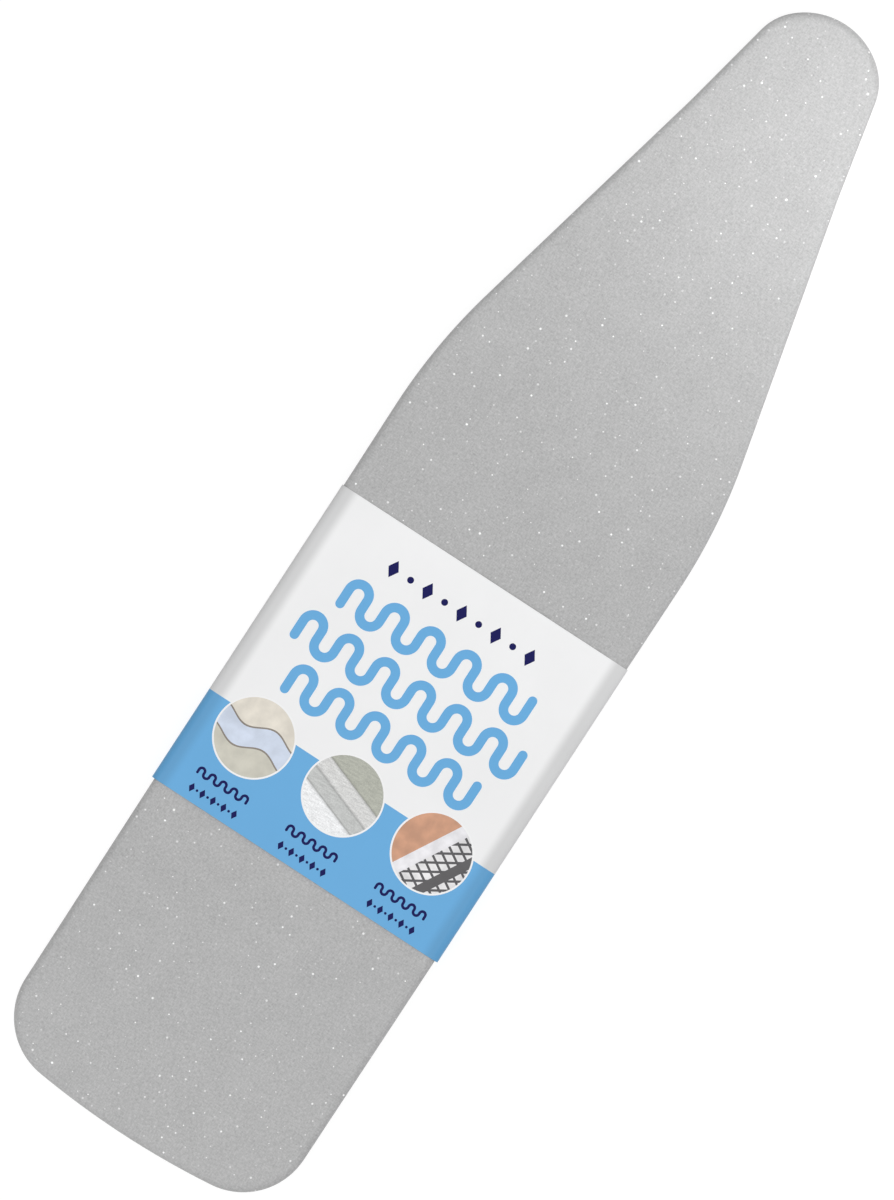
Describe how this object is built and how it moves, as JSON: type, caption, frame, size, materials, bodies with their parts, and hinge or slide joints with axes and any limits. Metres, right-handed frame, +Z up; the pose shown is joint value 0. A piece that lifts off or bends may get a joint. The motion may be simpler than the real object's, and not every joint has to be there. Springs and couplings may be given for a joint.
{
  "type": "ironing board cover",
  "caption": "Padded fitted cover for an ironing board, with a gathered elastic hem, hook-and-loop straps underneath and a paper sleeve that slides off.",
  "frame": {"origin": "middle of the lowest plane, on which the sleeve rests, halfway between tail and nose", "axes": "+X from the square tail to the narrow nose, +Y to the left of that, +Z up out of the ironing surface"},
  "size_m": [1.3716, 0.353, 0.0394],
  "materials": {
    "silver_sheet": "silver coated cotton with a fine glitter",
    "foam": "open cell foam",
    "felt": "needled felt",
    "hem_binding": "cotton binding",
    "elastic": "braided elastic cord",
    "strap_web": "woven tape",
    "hook_patch": "hook tape",
    "loop_patch": "brushed loop tape",
    "sleeve_card": "coated printed card",
    "glue": "dried glue"
  },
  "bodies": {
    "cover": {"cover_sheet": "silver_sheet", "foam_layer": "foam", "felt_pad": "felt", "hem_casing": "hem_binding", "hem_elastic": "elastic"},
    "sleeve": {"paper_sleeve": "sleeve_card", "sleeve_glue_strip": "glue"},
    "tail_strap": {"tail_strap_web": "strap_web", "tail_strap_hook_patch": "hook_patch"},
    "tail_tab": {"tail_tab_web": "strap_web", "tail_tab_loop_patch": "loop_patch"},
    "middle_strap": {"middle_strap_web": "strap_web", "middle_strap_hook_patch": "hook_patch"},
    "middle_tab": {"middle_tab_web": "strap_web", "middle_tab_loop_patch": "loop_patch"},
    "nose_strap": {"nose_strap_web": "strap_web", "nose_strap_hook_patch": "hook_patch"},
    "nose_tab": {"nose_tab_web": "strap_web", "nose_tab_loop_patch": "loop_patch"}
  },
  "joints": [
    {"name": "sleeve_slide", "type": "slide", "parent": "cover", "child": "sleeve", "axis": [1, 0, 0], "range_m": [-0.69, 1.05]},
    {"name": "tail_strap_fold", "type": "hinge", "parent": "cover", "child": "tail_strap", "pos_m": [-0.4958, -0.12488, 0.002], "axis": [-1, 0.0046, 0], "range_deg": [0, 160]},
    {"name": "tail_tab_fold", "type": "hinge", "parent": "cover", "child": "tail_tab", "pos_m": [-0.4958, 0.12488, 0.0051], "axis": [1, 0.0046, 0], "range_deg": [0, 72]},
    {"name": "middle_strap_fold", "type": "hinge", "parent": "cover", "child": "middle_strap", "pos_m": [0.0842, -0.12758, 0.002], "axis": [-1, 0.0046, 0], "range_deg": [0, 160]},
    {"name": "middle_tab_fold", "type": "hinge", "parent": "cover", "child": "middle_tab", "pos_m": [0.0842, 0.12758, 0.0051], "axis": [1, 0.0046, 0], "range_deg": [0, 72]},
    {"name": "nose_strap_fold", "type": "hinge", "parent": "cover", "child": "nose_strap", "pos_m": [0.36416, -0.08217, 0.002], "axis": [-0.9734, -0.2293, 0], "range_deg": [0, 160]},
    {"name": "nose_tab_fold", "type": "hinge", "parent": "cover", "child": "nose_tab", "pos_m": [0.36416, 0.08217, 0.0051], "axis": [0.9734, -0.2293, 0], "range_deg": [0, 72]}
  ],
  "couplings": [
    {"joint": "tail_tab_fold", "follows": "tail_strap_fold", "ratio": 0.45},
    {"joint": "middle_tab_fold", "follows": "middle_strap_fold", "ratio": 0.45},
    {"joint": "nose_tab_fold", "follows": "nose_strap_fold", "ratio": 0.45}
  ]
}
